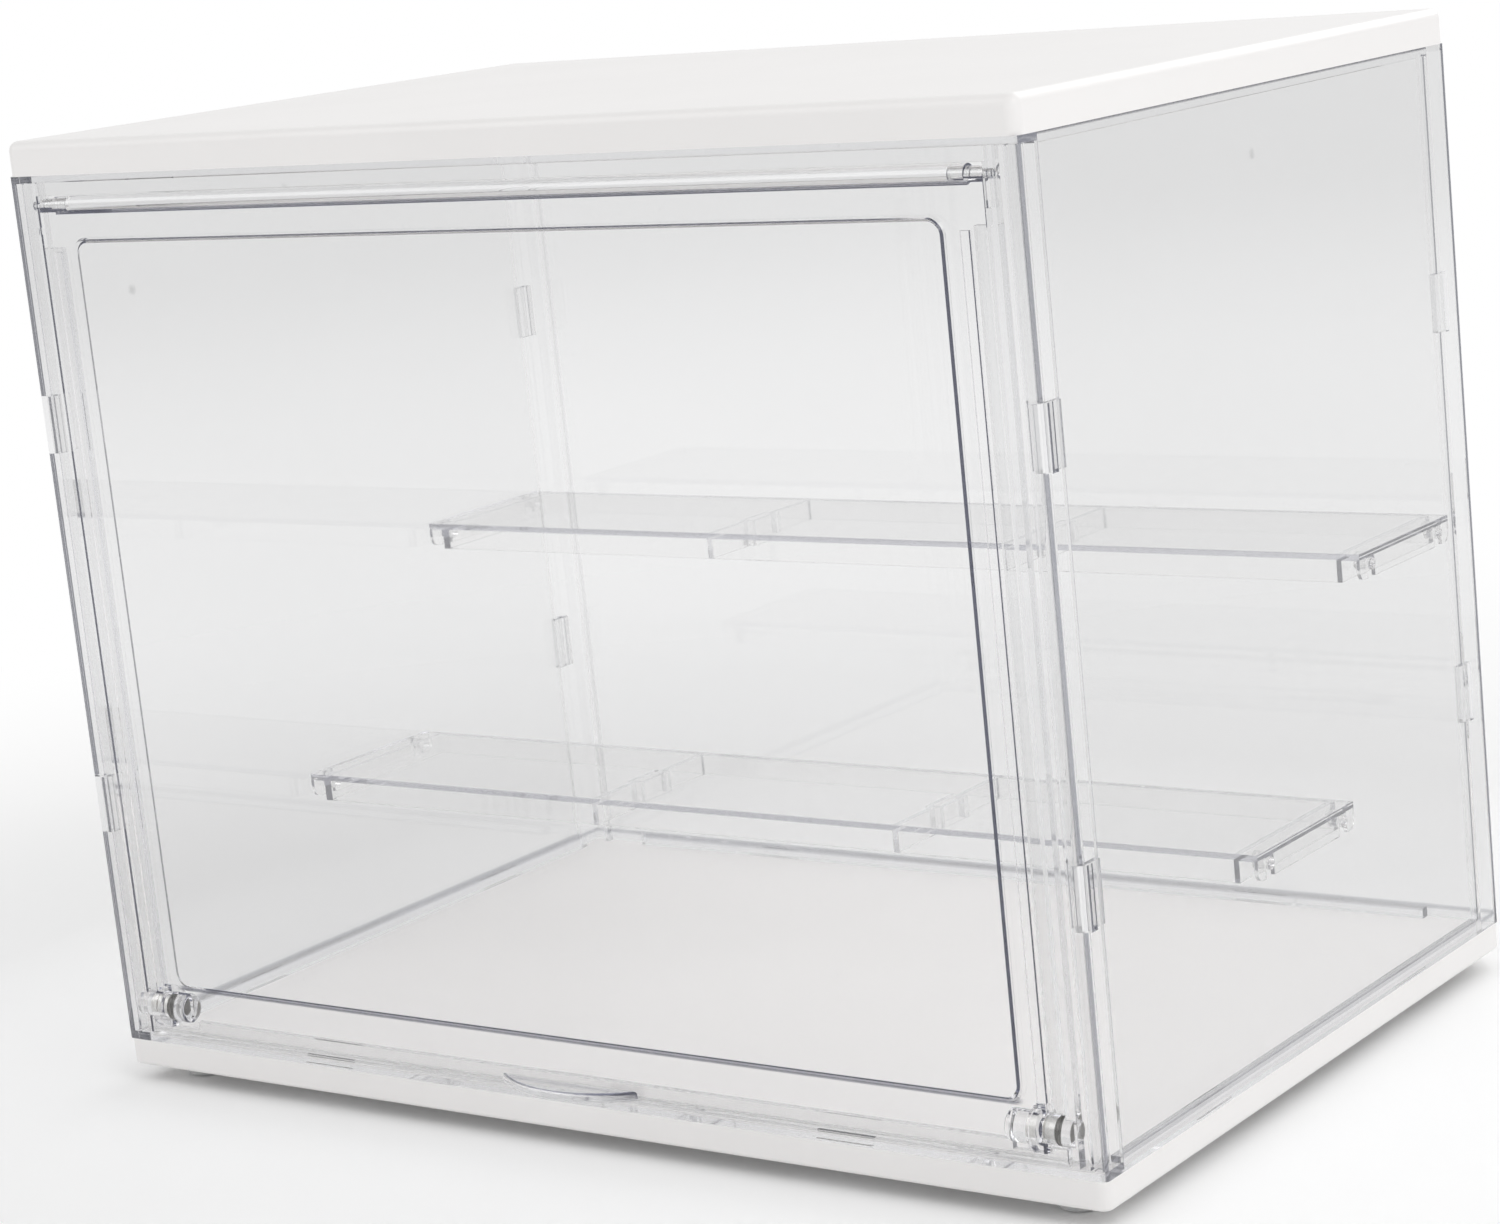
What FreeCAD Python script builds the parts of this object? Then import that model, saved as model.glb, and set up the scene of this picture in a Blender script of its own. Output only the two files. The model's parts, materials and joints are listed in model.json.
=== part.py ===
"""Clear display case for shoes: white lid and base, clear walls, top-hung door, two lift-off shelves.

The walls are clear mouldings that lock to each other and to the lid and base with snap tongues.
The door hangs on two pins at the top of the front frame and is held shut by a magnet at each lower corner.
Axes: +X to the right, +Y to the back, +Z up. The origin is the bottom centre of the case, under the feet.
All sizes are in millimetres.
"""

import FreeCAD, Part
import os

# ---- case ----
case_width = 360.0
case_depth = 238.5
wall_height = 271.8
wall = 2.2
wall_corner_radius = 2.0

# ---- base, feet and lid ----
base_height = 8.7
floor_thickness = 2.4
base_corner_radius = 3.5
base_edge_radius = 1.6
rib_thickness = 1.4
rib_drop = 3.0
ribs_across = 3
foot_height = 5.0
foot_radius = 7.0
foot_seat_depth = 1.0
foot_boss_wall = 1.5
foot_side_inset = 18.0
foot_end_inset = 15.5
lid_height = 10.5
lid_top_thickness = 2.5
lid_corner_radius = 3.5
lid_edge_radius = 3.0

# ---- snap tongues that lock the walls ----
tongue_gap = 0.15
tongue_thickness = 1.6
slot_clearance = 0.2
edge_tongue_width = 19.0
edge_tongue_reach = 5.0
edge_tongue_bump = 0.5
front_back_tongue_offset = 95.5
side_tongue_offset = 60.0
post_tongue_width = 17.5
post_tongue_reach = 6.5
rear_tongue_reach = 5.2
post_tongue_bump = 1.3
post_tongue_offset = 60.0
bump_length = 2.4
bump_setback = 1.0

# ---- front frame ----
frame_return = 9.0
stile_width = 11.0
stile_wall = 2.4
top_rail = 6.0
bottom_rail = 3.0
ledge_thickness = 2.0
side_ledge = 5.5
bottom_ledge = 4.5
ledge_top_drop = 16.0
guide_rib = 1.2
guide_rib_depth = 4.8

# ---- back and side panels ----
back_return = 12.6
panel_joint_gap = 0.1
side_rail_height = 4.0
side_head_height = 2.8
back_rail_height = 3.2
rail_depth = 3.0
back_rib_inset = 7.5
back_rib_depth = 2.4
back_rail_setback = 25.0

# ---- door ----
door_sheet = 2.2
door_inset = 0.4
door_side_gap = 0.5
door_bottom_gap = 0.5
door_stop_gap = 0.6
border_side = 12.4
border_bottom = 15.0
border_top = 12.5
raise_height = 1.4
raise_slope = 0.75
raise_corner = 4.5
ridge_inset = 4.8
ridge_width = 2.7
ridge_height = 0.9
ridge_top_drop = 4.0
pull_half_width = 25.0
pull_reach = 8.0
pull_thickness = 2.8
pull_edge_radius = 0.8

# ---- door hinge ----
bead_radius = 2.7
bead_rail_gap = 0.4
bead_setback = 6.0
knuckle_radius = 2.0
pin_radius = 1.25
pin_running_clearance = 0.06
pin_press_clearance = 0.02
pin_grip = 5.0
pin_end_gap = 0.3
pin_slot_depth = 1.2
pin_slot_width = 2.1
pin_slot_length = 6.5
pin_slot_mouth = 3.4
pin_slot_mouth_length = 2.0

# ---- magnet catches ----
catch_height = 12.2
catch_depth = 2.0
catch_setback = 6.7
catch_gap = 0.5
hub_radius = 4.75
hub_length = 8.5
flange_radius = 6.8
flange_thickness = 3.0
boss_radius = 4.2
boss_notch_gap = 0.6
magnet_radius = 3.0
magnet_length = 3.0
magnet_glue_gap = 0.05
magnet_recess = 0.3

# ---- shelves ----
shelf_depth = 58.0
shelf_plate = 2.0
shelf_height = 8.5
shelf_skirt = 1.6
shelf_end_gap = 0.5
shelf_end_wall = 1.2
shelf_end_wall_height = 6.0
shelf_end_channel = 6.0
shelf_rib = 2.0
shelf_bays = 3
socket_length = 14.0
socket_width = 6.0
socket_wall = 1.4
peg_radius = 1.8
peg_length = 5.2
peg_inset = 7.0
peg_seat_gap = 0.3
peg_notch_gap = 0.5
shelf_step = 72.0
shelf_back_gap = 15.5
lower_shelf_top = 62.0
upper_shelf_top = 132.0

# ---- planes that the pieces share ----
half_width = case_width / 2
front = -(case_depth - pull_reach) / 2
back = front + case_depth
base_bottom = foot_height
floor = base_bottom + base_height
lid_bottom = floor + wall_height
lid_top = lid_bottom + lid_height
mid_height = floor + wall_height / 2
mid_depth = front + case_depth / 2
opening_half = half_width - stile_width
opening_bottom = floor + bottom_rail
opening_top = lid_bottom - top_rail
ledge_front = front + door_inset + door_sheet + door_stop_gap
door_front = front + door_inset
door_back = door_front + door_sheet
door_half = opening_half - door_side_gap
door_bottom = opening_bottom + door_bottom_gap
hinge_y = front + bead_radius
hinge_z = opening_top - bead_rail_gap - bead_radius
catch_y = front + catch_depth
catch_z = floor + catch_height
catch_face = opening_half - catch_setback
tongue_outer = wall + tongue_gap
tongue_inner = tongue_outer + tongue_thickness
past = 1.0

X = FreeCAD.Vector(1, 0, 0)
Y = FreeCAD.Vector(0, 1, 0)
Z = FreeCAD.Vector(0, 0, 1)
ORIGIN = FreeCAD.Vector(0, 0, 0)


def point(x, y, z):
    """Position in the case's frame."""
    return FreeCAD.Vector(x, y, z)


def block(x, y, z):
    """Box between a pair of limits along each axis."""
    return Part.makeBox(x[1] - x[0], y[1] - y[0], z[1] - z[0], point(x[0], y[0], z[0]))


def rod(radius, start, length, direction):
    """Cylinder from a start point along a direction."""
    return Part.makeCylinder(radius, length, start, direction)


def around(middle, width):
    """Limits of a width centred on a position."""
    return (middle - width / 2, middle + width / 2)


def both_sides(shape):
    """A shape on the right of the case and its mirror image on the left."""
    return [shape, mirrored(shape)]


def mirrored(shape):
    """Mirror image across the case's middle plane."""
    return shape.mirror(ORIGIN, X)


def joined(shapes):
    """One solid from shapes that touch or overlap."""
    return shapes[0].multiFuse(shapes[1:]).removeSplitter()


def edges_where(shape, test):
    """Edges whose both ends pass a test."""
    return [e for e in shape.Edges if all(test(v.Point) for v in e.Vertexes)]


def upright_edges(shape, x_side, y_side):
    """Vertical edges at the outer corners of the case, at a side plane and a front or back plane."""
    def at_corner(p):
        return abs(abs(p.x) - x_side) < 1e-6 and min(abs(p.y - y) for y in y_side) < 1e-6

    return [e for e in edges_where(shape, at_corner) if abs(e.tangentAt(e.FirstParameter).z) > 0.99]


def tongue(width, reach, bump):
    """Snap tongue in its own frame: x along the wall's edge, y inward from its face, z past the edge."""
    tip = reach - bump_setback
    outline = [
        (wall, -wall),
        (tongue_inner, -wall),
        (tongue_inner, reach),
        (tongue_outer, reach),
        (tongue_outer, tip),
        (tongue_outer - bump, tip - bump_length / 2),
        (tongue_outer, tip - bump_length),
        (tongue_outer, 0),
        (wall, 0),
    ]
    points = [point(-width / 2, y, z) for y, z in outline]
    wire = Part.makePolygon(points + points[:1])
    return Part.Face(wire).extrude(X * width)


def tongue_space(width, reach, through):
    """Room for an edge tongue: its slot through a plate, and the pocket in the rim for its bump."""
    half = width / 2 + slot_clearance
    thickness = (wall, tongue_inner + slot_clearance)
    slot = block((-half, half), thickness, (-past * through, reach + slot_clearance))
    tip = reach - bump_setback
    bump_room = edge_tongue_bump - tongue_gap + slot_clearance
    low = tip - bump_length - slot_clearance
    pocket = block((-half, half), (wall - bump_room, wall + past), (low, tip + slot_clearance))
    return slot.fuse(pocket)


def placed(shape, inward, outward, origin):
    """A shape from the tongue's frame, set in the case with its inward and outward axes and its origin."""
    along = inward.cross(outward)
    matrix = FreeCAD.Matrix(
        along.x, inward.x, outward.x, origin.x,
        along.y, inward.y, outward.y, origin.y,
        along.z, inward.z, outward.z, origin.z,
        0, 0, 0, 1,
    )
    moved = shape.copy()
    moved.Placement = FreeCAD.Placement(matrix)
    return moved


def edge_places(wall_name, upward):
    """Inward axis, outward axis and origin of each tongue along one wall's top or bottom edge."""
    outward = Z if upward else Z * -1
    z = lid_bottom if upward else floor
    across = (-front_back_tongue_offset, front_back_tongue_offset)
    along = (mid_depth - side_tongue_offset, mid_depth + side_tongue_offset)
    places = {
        "front": [(Y, outward, point(x, front, z)) for x in across],
        "back": [(Y * -1, outward, point(x, back, z)) for x in across],
        "left": [(X, outward, point(-half_width, y, z)) for y in along],
        "right": [(X * -1, outward, point(half_width, y, z)) for y in along],
    }
    return places[wall_name]


def edge_tongues(wall_name):
    """The tongues on the top and bottom edges of one wall."""
    shape = tongue(edge_tongue_width, edge_tongue_reach, edge_tongue_bump)
    return [placed(shape, *place) for up in (False, True) for place in edge_places(wall_name, up)]


def edge_slots(upward, through):
    """The slots and pockets that take every wall's tongues, in the lid or in the base."""
    space = tongue_space(edge_tongue_width, edge_tongue_reach, through)
    walls = ("front", "back", "left", "right")
    return [placed(space, *place) for name in walls for place in edge_places(name, upward)]


def post_tongues(edge_y, toward, reach):
    """Tongues on an upright edge of the right panel, that click into windows in the wall beyond it."""
    shape = tongue(post_tongue_width, reach, post_tongue_bump)
    return [placed(shape, X * -1, Y * toward, point(half_width, edge_y, z)) for z in post_levels()]


def post_windows(edge_y, toward, reach):
    """Windows in a wall's right return for the bumps of the tongues on the panel's upright edge."""
    tip = edge_y + toward * (reach - bump_setback)
    far = tip + toward * slot_clearance
    near = tip - toward * (bump_length + slot_clearance)
    half = post_tongue_width / 2 + slot_clearance
    through = (half_width - wall, half_width + past)
    return [block(through, sorted((near, far)), (z - half, z + half)) for z in post_levels()]


def post_levels():
    """Heights of the middles of the snap tongues on the upright edges."""
    return (mid_height - post_tongue_offset, mid_height + post_tongue_offset)


def panel_ends():
    """Front and back edges of a side panel, each a small gap from the return that it meets."""
    return (front + frame_return + panel_joint_gap, back - back_return - panel_joint_gap)


def make_base():
    """White base: a floor plate on a rim, ribbed underneath, with slots for the walls and feet seats."""
    shell = block((-half_width, half_width), (front, back), (base_bottom, floor))
    shell = shell.makeFillet(base_corner_radius, upright_edges(shell, half_width, (front, back)))
    rim = edges_where(shell, lambda p: abs(p.z - base_bottom) < 1e-6)
    shell = shell.makeFillet(base_edge_radius, rim)
    under = (base_bottom - past, floor - floor_thickness)
    hollow = block((wall - half_width, half_width - wall), (front + wall, back - wall), under)
    shell = shell.cut(hollow)
    rib_levels = (floor - floor_thickness - rib_drop, floor - floor_thickness)
    rib_limit = tongue_inner + slot_clearance + rib_thickness
    ribs = []
    for number in range(ribs_across):
        x = case_width * ((number + 1) / (ribs_across + 1) - 1 / 2)
        across = (front + rib_limit, back - rib_limit)
        ribs.append(block(around(x, rib_thickness), across, rib_levels))
    along = (rib_limit - half_width, half_width - rib_limit)
    ribs.append(block(along, around(mid_depth, rib_thickness), rib_levels))
    bosses = []
    seats = []
    seat_radius = foot_radius + slot_clearance
    for x, y in foot_centres():
        start = point(x, y, base_bottom)
        bosses.append(rod(seat_radius + foot_boss_wall, start, base_height - floor_thickness, Z))
        seats.append(rod(seat_radius, point(x, y, base_bottom - past), past + foot_seat_depth, Z))
    return joined([shell] + ribs + bosses).cut(seats + edge_slots(False, 1))


def foot_centres():
    """Positions of the four feet: front left, front right, back left, back right."""
    xs = (foot_side_inset - half_width, half_width - foot_side_inset)
    return [(x, y) for y in (front + foot_end_inset, back - foot_end_inset) for x in xs]


def make_foot(x, y):
    """Soft round foot, glued in its seat under the base."""
    foot = rod(foot_radius, point(x, y, 0), foot_height + foot_seat_depth, Z)
    sole = edges_where(foot, lambda p: p.z < 1e-6)
    return foot.makeFillet(foot_height / 4, sole)


def make_lid():
    """White lid: a flat top on a rim, with rounded upper edges and slots for the walls."""
    shell = block((-half_width, half_width), (front, back), (lid_bottom, lid_top))
    shell = shell.makeFillet(lid_corner_radius, upright_edges(shell, half_width, (front, back)))
    upper = edges_where(shell, lambda p: abs(p.z - lid_top) < 1e-6)
    shell = shell.makeFillet(lid_edge_radius, upper)
    inside = (lid_bottom - past, lid_top - lid_top_thickness)
    hollow = block((wall - half_width, half_width - wall), (front + wall, back - wall), inside)
    return shell.cut(hollow).cut(edge_slots(True, 0))


def corner_wall(plane_y, toward, depth):
    """Wall across the case with a return round each side and rounded corners, full height."""
    thin = sorted((plane_y, plane_y + toward * wall))
    deep = sorted((plane_y, plane_y + toward * depth))
    pieces = [block((-half_width, half_width), thin, (floor, lid_bottom))]
    pieces += both_sides(block((half_width - wall, half_width), deep, (floor, lid_bottom)))
    shape = joined(pieces)
    return shape.makeFillet(wall_corner_radius, upright_edges(shape, half_width, (plane_y,)))


def make_front_frame():
    """Clear front frame: stiles, rails, door stops, hinge holes and catch bosses in one moulding."""
    frame = corner_wall(front, 1, frame_return)
    doorway = (-opening_half, opening_half)
    frame = frame.cut(block(doorway, (front - past, front + wall + past), (opening_bottom, opening_top)))
    depth = (front, front + frame_return)
    full = (-half_width + wall, half_width - wall)
    webs = [block(full, depth, (floor, floor + wall)), block(full, depth, (lid_bottom - wall, lid_bottom))]
    ledge = (ledge_front, ledge_front + ledge_thickness)
    stile_inside = opening_half + stile_wall
    stile_x = (opening_half, stile_inside)
    webs += both_sides(block(stile_x, (front, ledge[1]), (floor, lid_bottom)))
    side_x = (opening_half - side_ledge, stile_inside)
    webs += both_sides(block(side_x, ledge, (floor, opening_top - ledge_top_drop)))
    webs.append(block(doorway, ledge, (floor, opening_bottom + bottom_ledge)))
    rib_start = tongue_inner + slot_clearance
    rib_x = (half_width - rib_start - guide_rib, half_width - rib_start)
    webs += both_sides(block(rib_x, (front, front + wall + guide_rib_depth), (floor, lid_bottom)))
    boss_start = point(catch_face + catch_gap, catch_y, catch_z)
    webs += both_sides(rod(boss_radius, boss_start, stile_inside - boss_start.x, X))
    frame = joined([frame] + webs + edge_tongues("front"))
    return frame.cut(frame_cuts())


def frame_cuts():
    """Room in the front frame for the pins, the door's hubs, the magnets and the side panels' bumps."""
    hole_start = point(opening_half - past, hinge_y, hinge_z)
    hole = rod(pin_radius + pin_running_clearance, hole_start, past + stile_wall, X)
    slot_bottom = hinge_z - pin_slot_length
    slot_x = (opening_half - past, opening_half + pin_slot_depth)
    slot = block(slot_x, around(hinge_y, pin_slot_width), (slot_bottom, hinge_z))
    mouth_z = (slot_bottom - pin_slot_mouth_length, slot_bottom)
    mouth = block(slot_x, around(hinge_y, pin_slot_mouth), mouth_z)
    hub_x = (catch_face - flange_thickness - hub_length - catch_gap, catch_face + catch_gap)
    hub_room = catch_z - flange_radius - catch_gap
    through_ledge = (ledge_front - past, ledge_front + ledge_thickness + past)
    hub_notch = block(hub_x, through_ledge, (hub_room, catch_z))
    socket_start = point(catch_face, catch_y, catch_z)
    socket = rod(magnet_radius + magnet_glue_gap, socket_start, catch_gap + magnet_space(), X)
    windows = post_windows(panel_ends()[0], -1, post_tongue_reach)
    cuts = []
    for shape in windows + [hole, slot, mouth, hub_notch, socket]:
        cuts += both_sides(shape)
    return cuts


def magnet_space():
    """Depth of a magnet's pocket, with the magnet set a little below the face."""
    return magnet_length + magnet_recess


def make_magnet(face, direction):
    """Magnet disc set into its pocket from a face, on the right of the case."""
    start = point(face + direction * magnet_recess, catch_y, catch_z)
    return rod(magnet_radius, start, magnet_length, X * direction)


def rounded_panel(half, low, high, y, radius):
    """Outline of a rounded rectangle in a plane across the case."""
    solid = block((-half, half), (y, y + past), (low, high))
    corners = [e for e in solid.Edges if abs(e.tangentAt(e.FirstParameter).y) > 0.99]
    rounded = solid.makeFillet(radius, corners)
    return min(rounded.Faces, key=lambda f: f.CenterOfMass.y).OuterWire


def raised_block(inset, y_outer, y_inner):
    """Block of the door's raised centre, from its wide outline to its slightly narrower one."""
    half = door_half - border_side - inset
    low = door_bottom + border_bottom + inset
    high = hinge_z - border_top + bead_radius - inset
    wide = rounded_panel(half, low, high, y_outer, raise_corner)
    limits = (half - raise_slope, low + raise_slope, high - raise_slope)
    narrow = rounded_panel(*limits, y_inner, raise_corner - raise_slope / 2)
    return Part.makeLoft([wide, narrow], True, True)


def make_door():
    """Clear door: a sheet with a raised centre, hinge bead, finger pull and magnet hubs in one moulding."""
    pieces = [block((-door_half, door_half), (door_front, door_back), (door_bottom, hinge_z))]
    bead_half = opening_half - bead_setback
    pieces.append(rod(bead_radius, point(-bead_half, hinge_y, hinge_z), 2 * bead_half, X))
    pieces.append(rod(knuckle_radius, point(-door_half, hinge_y, hinge_z), 2 * door_half, X))
    pieces.append(raised_block(0, door_front, door_front - raise_height))
    ridge_x = (door_half - ridge_inset - ridge_width, door_half - ridge_inset)
    ridge_top = hinge_z + bead_radius - border_top - ridge_top_drop
    ridge_z = (door_bottom + border_bottom - ridge_width, ridge_top)
    ridge = block(ridge_x, (door_front - ridge_height, door_front), ridge_z)
    hub_start = point(catch_face, catch_y, catch_z)
    hub = rod(hub_radius, hub_start, flange_thickness + hub_length, X * -1)
    hub_end = edges_where(hub, lambda p: p.x < catch_face - flange_thickness)
    hub = hub.makeFillet(hub_radius / 4, hub_end)
    flange = rod(flange_radius, hub_start, flange_thickness, X * -1)
    for shape in (ridge, hub, flange):
        pieces += both_sides(shape)
    pieces.append(make_pull())
    door = joined(pieces)
    recess = raised_block(raise_slope, door_back, door_back - raise_height)
    return door.cut([recess] + door_cuts())


def door_cuts():
    """Room in the door for the hinge pins, the frame's catch bosses and the magnets."""
    bore_end = opening_half - bead_setback - pin_grip - pin_end_gap
    bore_start = point(bore_end, hinge_y, hinge_z)
    bore = rod(pin_radius + pin_press_clearance, bore_start, door_half - bore_end + past, X)
    notch_z = around(catch_z, 2 * (boss_radius + boss_notch_gap))
    notch = block((catch_face, door_half + past), (door_front - past, door_back + past), notch_z)
    pocket_start = point(catch_face, catch_y, catch_z)
    pocket = rod(magnet_radius + magnet_glue_gap, pocket_start, magnet_space(), X * -1)
    cuts = []
    for shape in (bore, notch, pocket):
        cuts += both_sides(shape)
    return cuts


def make_pull():
    """Crescent finger pull along the middle of the door's lower edge."""
    left = point(-pull_half_width, door_front, door_bottom)
    right = point(pull_half_width, door_front, door_bottom)
    tip = point(0, front - pull_reach, door_bottom)
    outline = Part.Wire([Part.Arc(left, tip, right).toShape(), Part.LineSegment(right, left).toShape()])
    pull = Part.Face(outline).extrude(Z * pull_thickness)
    rims = [e for e in pull.Edges if e.Curve.TypeId == "Part::GeomCircle"]
    return pull.makeFillet(pull_edge_radius, rims)


def make_hinge_pin():
    """Hinge pin, pressed into the door's bead and turning in the right stile."""
    start = opening_half - bead_setback - pin_grip
    end = opening_half + stile_wall - pin_end_gap
    pin = rod(pin_radius, point(start, hinge_y, hinge_z), end - start, X)
    return pin.makeChamfer(pin_radius / 4, edges_where(pin, lambda p: p.x > start))


def make_back_panel():
    """Clear back panel: returns with windows at its sides, two ribs, rails at its foot and head."""
    shape = corner_wall(back, -1, back_return)
    inner = back - wall
    rib_x = (half_width - back_rib_inset - rib_thickness, half_width - back_rib_inset)
    pieces = both_sides(block(rib_x, (inner - back_rib_depth, inner), (floor, lid_bottom)))
    rail_half = half_width - back_rail_setback
    for levels in ((floor, floor + back_rail_height), (lid_bottom - back_rail_height, lid_bottom)):
        pieces.append(block((-rail_half, rail_half), (inner - rail_depth, inner), levels))
    cuts = []
    for window in post_windows(panel_ends()[1], 1, rear_tongue_reach):
        cuts += both_sides(window)
    return joined([shape] + pieces + edge_tongues("back")).cut(cuts)


def make_side_panel():
    """Clear right side panel: snap tongues on all four edges, rails at its foot and head, shelf pegs."""
    inside = half_width - wall
    ends = panel_ends()
    pieces = [block((inside, half_width), ends, (floor, lid_bottom))]
    rail_x = (inside - rail_depth, inside)
    for levels in ((floor, floor + side_rail_height), (lid_bottom - side_head_height, lid_bottom)):
        pieces.append(block(rail_x, ends, levels))
    pieces += edge_tongues("right")
    pieces += post_tongues(ends[0], -1, post_tongue_reach) + post_tongues(ends[1], 1, rear_tongue_reach)
    for setback, top in shelf_places():
        peg_z = top - shelf_plate - peg_seat_gap - peg_radius
        for y in peg_depths(setback):
            pieces.append(rod(peg_radius, point(inside - peg_length, y, peg_z), peg_length + wall / 2, X))
    return joined(pieces)


def shelf_places():
    """Front edge and top level of the lower and the upper shelf."""
    upper_front = back - shelf_back_gap - shelf_depth
    return [(upper_front - shelf_step, floor + lower_shelf_top), (upper_front, floor + upper_shelf_top)]


def peg_depths(shelf_front):
    """Where the two pegs under one end of a shelf stand, front to back."""
    return (shelf_front + peg_inset, shelf_front + shelf_depth - peg_inset)


def make_shelf(shelf_front, top):
    """Clear shelf: a plate with skirts, cross ribs with leg sockets, and end channels over the pegs."""
    half = half_width - wall - shelf_end_gap
    shelf_back = shelf_front + shelf_depth
    skirt_half = half - shelf_end_channel
    bottom = top - shelf_height
    plate_bottom = top - shelf_plate
    under = (bottom, plate_bottom)
    pieces = [block((-half, half), (shelf_front, shelf_back), (plate_bottom, top))]
    pieces.append(block((-skirt_half, skirt_half), (shelf_front, shelf_front + shelf_skirt), under))
    pieces.append(block((-skirt_half, skirt_half), (shelf_back - shelf_skirt, shelf_back), under))
    pieces += both_sides(block((skirt_half - shelf_rib, skirt_half), (shelf_front, shelf_back), under))
    pieces += both_sides(shelf_end(half, shelf_front, plate_bottom))
    socket_mid = shelf_front + shelf_depth / 2
    sockets = []
    for number in range(1, shelf_bays):
        x = 2 * skirt_half * (number / shelf_bays - 1 / 2)
        pieces.append(block(around(x, shelf_rib), (shelf_front, shelf_back), under))
        pieces.append(block(around(x, socket_width), around(socket_mid, socket_length), under))
        hole_x = around(x, socket_width - 2 * socket_wall)
        hole_y = around(socket_mid, socket_length - 2 * socket_wall)
        sockets.append(block(hole_x, hole_y, (bottom - past, plate_bottom)))
    return joined(pieces).cut(sockets)


def shelf_end(half, shelf_front, plate_bottom):
    """Thin wall that closes the end of a shelf, rounded below and notched to drop over the pegs."""
    low = plate_bottom - shelf_end_wall_height
    length = (shelf_front, shelf_front + shelf_depth)
    end_wall = block((half - shelf_end_wall, half), length, (low, plate_bottom))
    low_edges = edges_where(end_wall, lambda p: p.z < low + 1e-6)
    low_corners = [e for e in low_edges if e.Length < shelf_depth / 2]
    end_wall = end_wall.makeFillet(shelf_end_wall_height / 2, low_corners)
    notch_width = 2 * (peg_radius + peg_notch_gap)
    through = (half - shelf_end_wall - past, half + past)
    pegs = peg_depths(shelf_front)
    return end_wall.cut([block(through, around(y, notch_width), (low - past, plate_bottom)) for y in pegs])


def make_parts():
    """Every piece of the case, by name."""
    side = make_side_panel()
    pin = make_hinge_pin()
    door_magnet = make_magnet(catch_face, -1)
    frame_magnet = make_magnet(catch_face + catch_gap, 1)
    parts = {
        "base": make_base(),
        "lid": make_lid(),
        "front_frame": make_front_frame(),
        "back_panel": make_back_panel(),
        "side_panel_right": side,
        "side_panel_left": mirrored(side),
        "door": make_door(),
        "hinge_pin_right": pin,
        "hinge_pin_left": mirrored(pin),
        "door_magnet_right": door_magnet,
        "door_magnet_left": mirrored(door_magnet),
        "frame_magnet_right": frame_magnet,
        "frame_magnet_left": mirrored(frame_magnet),
    }
    corners = ("front_left", "front_right", "back_left", "back_right")
    for corner, (x, y) in zip(corners, foot_centres()):
        parts["foot_" + corner] = make_foot(x, y)
    for name, place in zip(("lower_shelf", "upper_shelf"), shelf_places()):
        parts[name] = make_shelf(*place)
    return parts


os.makedirs("parts", exist_ok=True)
for name, shape in make_parts().items():
    shape.exportStep(os.path.join("parts", name + ".step"))
    size = shape.BoundBox
    lengths = f"{size.XLength:8.2f} x {size.YLength:8.2f} x {size.ZLength:8.2f}"
    print(f"{name:20} valid {shape.isValid()} {lengths}")
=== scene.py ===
"""A clear display case for shoes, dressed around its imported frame.

The case has a white lid and base, clear moulded walls, a top-hung door and two lift-off shelves.
Every class dresses one sub-assembly: it holds the sizes that its finish needs and reports its pieces.
"""

import json
import logging
from abc import ABC, abstractmethod
from dataclasses import dataclass
from enum import Enum
from typing import Callable, Iterable

import bmesh
import bpy
from mathutils import Matrix, Vector

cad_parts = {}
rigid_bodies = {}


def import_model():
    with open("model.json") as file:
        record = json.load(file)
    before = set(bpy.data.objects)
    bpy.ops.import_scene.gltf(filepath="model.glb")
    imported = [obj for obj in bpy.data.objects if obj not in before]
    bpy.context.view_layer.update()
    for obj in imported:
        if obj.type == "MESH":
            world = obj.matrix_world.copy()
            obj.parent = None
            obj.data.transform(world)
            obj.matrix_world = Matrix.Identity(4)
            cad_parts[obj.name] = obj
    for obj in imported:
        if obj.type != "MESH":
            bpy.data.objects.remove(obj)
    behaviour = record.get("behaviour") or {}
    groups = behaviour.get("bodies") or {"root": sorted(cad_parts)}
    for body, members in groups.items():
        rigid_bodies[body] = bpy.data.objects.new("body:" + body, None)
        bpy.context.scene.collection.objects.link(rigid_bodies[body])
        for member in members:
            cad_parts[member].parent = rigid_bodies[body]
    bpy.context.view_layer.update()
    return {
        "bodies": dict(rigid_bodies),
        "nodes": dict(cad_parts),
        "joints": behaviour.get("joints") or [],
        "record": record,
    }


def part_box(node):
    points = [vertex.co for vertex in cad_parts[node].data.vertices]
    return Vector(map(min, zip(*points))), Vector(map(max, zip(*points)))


Color = tuple[float, float, float]
Triple = tuple[float, float, float]

log = logging.getLogger("shoe_case")

MILLIMETRE = 0.001
BLACK = (0.0, 0.0, 0.0)
WHITE = (1.0, 1.0, 1.0)


class Slot(Enum):
    """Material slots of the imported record."""

    WHITE = "white_plastic"
    CLEAR = "clear_plastic"
    FOOT = "foot_pad"
    MAGNET = "magnet"


class Effect(Enum):
    """Surface effects, by the name of their node group."""

    MOULDED_SKIN = "moulded_skin"
    HANDLING = "handling"
    GATE_MARK = "gate_mark"
    SHADE_LINE = "shade_line"


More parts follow.
